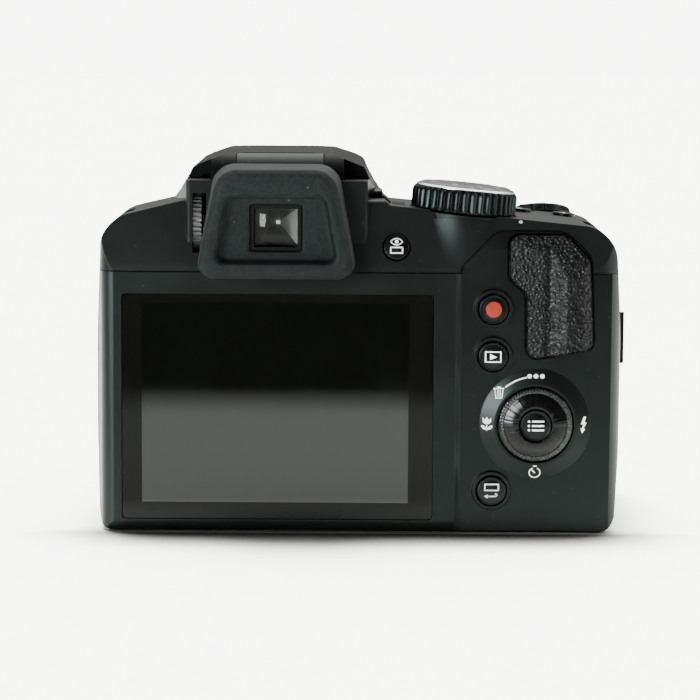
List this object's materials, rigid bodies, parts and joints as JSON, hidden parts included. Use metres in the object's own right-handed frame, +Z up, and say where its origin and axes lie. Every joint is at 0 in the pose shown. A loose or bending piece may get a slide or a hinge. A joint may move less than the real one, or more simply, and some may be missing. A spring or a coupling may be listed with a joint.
{
  "type": "bridge camera",
  "caption": "Bridge camera with a fixed telescoping zoom lens, pop-up flash, electronic viewfinder, rear display, mode dial and a hand grip over its batteries.",
  "frame": {"origin": "mouth of the tripod socket, at the base below the lens axis", "axes": "+X to the viewer's right, +Y forward along the lens axis, +Z up"},
  "size_m": [0.123, 0.1162, 0.0869],
  "materials": {
    "body_black": "fine-grained matt black",
    "frame_black": "satin black",
    "button_black": "satin black",
    "rubber_black": "matt",
    "leather_rubber": "pebbled",
    "display_glass": "glossy, dark",
    "display_cell": "dark grey-green",
    "sheet_metal": "plain",
    "board_green": "solder mask",
    "steel": "plain",
    "inner_plastic": "moulded, dark grey",
    "cell_wrap": "wrapped cells",
    "contact_metal": "plated spring strip",
    "card_plastic": "moulded",
    "brass_socket": "turned",
    "chrome_trim": "polished",
    "lens_glass": "coated",
    "flash_clear": "ribbed diffuser",
    "barrel_black": "satin black",
    "lamp_tint": "tinted",
    "motor_metal": "plain",
    "sensor": "chip under glass"
  },
  "bodies": {
    "body": {"front_cover": "body_black", "rear_cover": "frame_black", "top_cover": "body_black", "battery_box": "inner_plastic", "batteries": "cell_wrap", "battery_contacts": "contact_metal", "grip_rubber": "leather_rubber", "thumb_rest_rubber": "leather_rubber", "display_window": "display_glass", "display_panel": "display_cell", "display_bracket": "sheet_metal", "chassis_plate": "sheet_metal", "main_board": "board_green", "screws": "steel", "control_board": "board_green", "card_slot": "steel", "memory_card": "card_plastic", "connector_sockets": "steel", "tripod_socket": "brass_socket", "eyecup": "rubber_black", "eyepiece_frame": "frame_black", "viewfinder_tube": "inner_plastic", "viewfinder_display": "display_cell", "flash_hinge_pin": "steel", "speaker": "inner_plastic", "af_lamp_window": "lamp_tint", "strap_bars": "chrome_trim", "fixed_barrel": "barrel_black", "guide_rods": "steel", "image_sensor": "sensor", "zoom_motor": "motor_metal"},
    "battery_door": {"battery_door": "body_black"},
    "battery_latch": {"battery_latch": "inner_plastic"},
    "terminal_cover": {"terminal_cover": "body_black"},
    "eyepiece": {"eyepiece_lens": "lens_glass"},
    "diopter_wheel": {"diopter_wheel": "button_black"},
    "flash": {"flash_head": "body_black", "flash_window": "flash_clear", "flash_tube": "chrome_trim"},
    "flash_button": {"flash_button": "button_black"},
    "mode_dial": {"mode_dial": "button_black"},
    "power_switch": {"power_switch": "button_black"},
    "zoom_lever": {"zoom_lever": "button_black"},
    "shutter_button": {"shutter_button": "chrome_trim"},
    "burst_button": {"burst_button": "button_black"},
    "exposure_button": {"exposure_button": "button_black"},
    "record_button": {"record_button": "button_black"},
    "playback_button": {"playback_button": "button_black"},
    "display_back_button": {"display_back_button": "button_black"},
    "viewfinder_button": {"viewfinder_button": "button_black"},
    "menu_button": {"menu_button": "button_black"},
    "selector_base": {"selector_base": "inner_plastic"},
    "selector_cradle": {"selector_cradle": "inner_plastic"},
    "selector_wheel": {"selector_wheel": "button_black"},
    "cam_ring": {"cam_ring": "inner_plastic"},
    "outer_tube": {"zoom_barrel_outer": "barrel_black"},
    "inner_tube": {"zoom_barrel_inner": "barrel_black", "front_lens": "lens_glass"},
    "zoom_group": {"zoom_lens_group": "lens_glass"},
    "focus_group": {"focus_lens_group": "lens_glass"}
  },
  "joints": [
    {"name": "battery_door_hinge", "type": "hinge", "parent": "body", "child": "battery_door", "pos_m": [0.0756, 0.005, 0.0026], "axis": [0, -1, 0], "range_deg": [0, 95]},
    {"name": "battery_latch_slide", "type": "slide", "parent": "battery_door", "child": "battery_latch", "axis": [1, 0, 0], "range_m": [0, 0.002]},
    {"name": "terminal_cover_hinge", "type": "hinge", "parent": "body", "child": "terminal_cover", "pos_m": [0.0784, -0.0086, 0.036], "axis": [0, 0, 1], "range_deg": [0, 95]},
    {"name": "eyepiece_focus", "type": "slide", "parent": "body", "child": "eyepiece", "axis": [0, 1, 0], "range_m": [-0.001, 0.001]},
    {"name": "diopter_turn", "type": "hinge", "parent": "body", "child": "diopter_wheel", "pos_m": [-0.0189, -0.0215, 0.0713], "axis": [1, 0, 0], "range_deg": [-45, 45]},
    {"name": "flash_lift", "type": "hinge", "parent": "body", "child": "flash", "pos_m": [0, -0.0194, 0.0806], "axis": [1, 0, 0], "range_deg": [0, 65]},
    {"name": "flash_button_press", "type": "slide", "parent": "body", "child": "flash_button", "axis": [-1, 0, 0], "range_m": [0, 0.0008], "stiffness_N_per_m": 300},
    {"name": "mode_dial_turn", "type": "hinge", "parent": "body", "child": "mode_dial", "pos_m": [0.04295, -0.016, 0.0732], "axis": [0.0964, 0, 0.9953], "continuous": true},
    {"name": "power_switch_turn", "type": "hinge", "parent": "body", "child": "power_switch", "pos_m": [0.0638, 0.0215, 0.06842], "axis": [0, 0.312, 0.9501], "range_deg": [-35, 0]},
    {"name": "zoom_lever_turn", "type": "hinge", "parent": "body", "child": "zoom_lever", "pos_m": [0.0638, 0.0215, 0.06842], "axis": [0, 0.312, 0.9501], "range_deg": [-20, 20], "stiffness_Nm_per_rad": 0.01},
    {"name": "shutter_press", "type": "slide", "parent": "body", "child": "shutter_button", "axis": [0, -0.312, -0.9501], "range_m": [0, 0.001], "stiffness_N_per_m": 300},
    {"name": "burst_press", "type": "slide", "parent": "body", "child": "burst_button", "axis": [-0.0961, 0, -0.9954], "range_m": [0, 0.0005], "stiffness_N_per_m": 300},
    {"name": "exposure_press", "type": "slide", "parent": "body", "child": "exposure_button", "axis": [-0.0961, 0, -0.9954], "range_m": [0, 0.0005], "stiffness_N_per_m": 300},
    {"name": "record_press", "type": "slide", "parent": "body", "child": "record_button", "axis": [0, 1, 0], "range_m": [0, 0.0005], "stiffness_N_per_m": 300},
    {"name": "playback_press", "type": "slide", "parent": "body", "child": "playback_button", "axis": [0, 1, 0], "range_m": [0, 0.0005], "stiffness_N_per_m": 300},
    {"name": "display_back_press", "type": "slide", "parent": "body", "child": "display_back_button", "axis": [0, 1, 0], "range_m": [0, 0.0005], "stiffness_N_per_m": 300},
    {"name": "menu_press", "type": "slide", "parent": "body", "child": "menu_button", "axis": [0, 1, 0], "range_m": [0, 0.0005], "stiffness_N_per_m": 300},
    {"name": "viewfinder_press", "type": "slide", "parent": "body", "child": "viewfinder_button", "axis": [0, 0.9545, -0.2981], "range_m": [0, 0.0005], "stiffness_N_per_m": 300},
    {"name": "selector_tilt_up_down", "type": "hinge", "parent": "body", "child": "selector_base", "pos_m": [0.0596, -0.0254, 0.0254], "axis": [1, 0, 0], "range_deg": [-1.5, 1.5], "stiffness_Nm_per_rad": 0.3},
    {"name": "selector_tilt_left_right", "type": "hinge", "parent": "selector_base", "child": "selector_cradle", "pos_m": [0.0596, -0.0267, 0.0254], "axis": [0, 0, 1], "range_deg": [-1.5, 1.5], "stiffness_Nm_per_rad": 0.3},
    {"name": "selector_wheel_turn", "type": "hinge", "parent": "selector_cradle", "child": "selector_wheel", "pos_m": [0.0596, -0.026, 0.0254], "axis": [0, 1, 0], "continuous": true},
    {"name": "outer_tube_zoom", "type": "slide", "parent": "body", "child": "outer_tube", "axis": [0, 1, 0], "range_m": [0, 0.026]},
    {"name": "inner_tube_zoom", "type": "slide", "parent": "outer_tube", "child": "inner_tube", "axis": [0, 1, 0], "range_m": [0, 0.026]},
    {"name": "cam_ring_turn", "type": "hinge", "parent": "body", "child": "cam_ring", "pos_m": [0, 0.03, 0.0375], "axis": [0, 1, 0], "range_deg": [0, 120]},
    {"name": "zoom_group_slide", "type": "slide", "parent": "body", "child": "zoom_group", "axis": [0, 1, 0], "range_m": [0, 0.0156]},
    {"name": "focus_group_slide", "type": "slide", "parent": "body", "child": "focus_group", "axis": [0, 1, 0], "range_m": [-0.002, 0.006]}
  ],
  "couplings": [
    {"joint": "diopter_turn", "follows": "eyepiece_focus", "rad_per_m": 785},
    {"joint": "inner_tube_zoom", "follows": "outer_tube_zoom", "ratio": 1},
    {"joint": "cam_ring_turn", "follows": "outer_tube_zoom", "rad_per_m": 80.5},
    {"joint": "zoom_group_slide", "follows": "outer_tube_zoom", "ratio": 0.6}
  ]
}
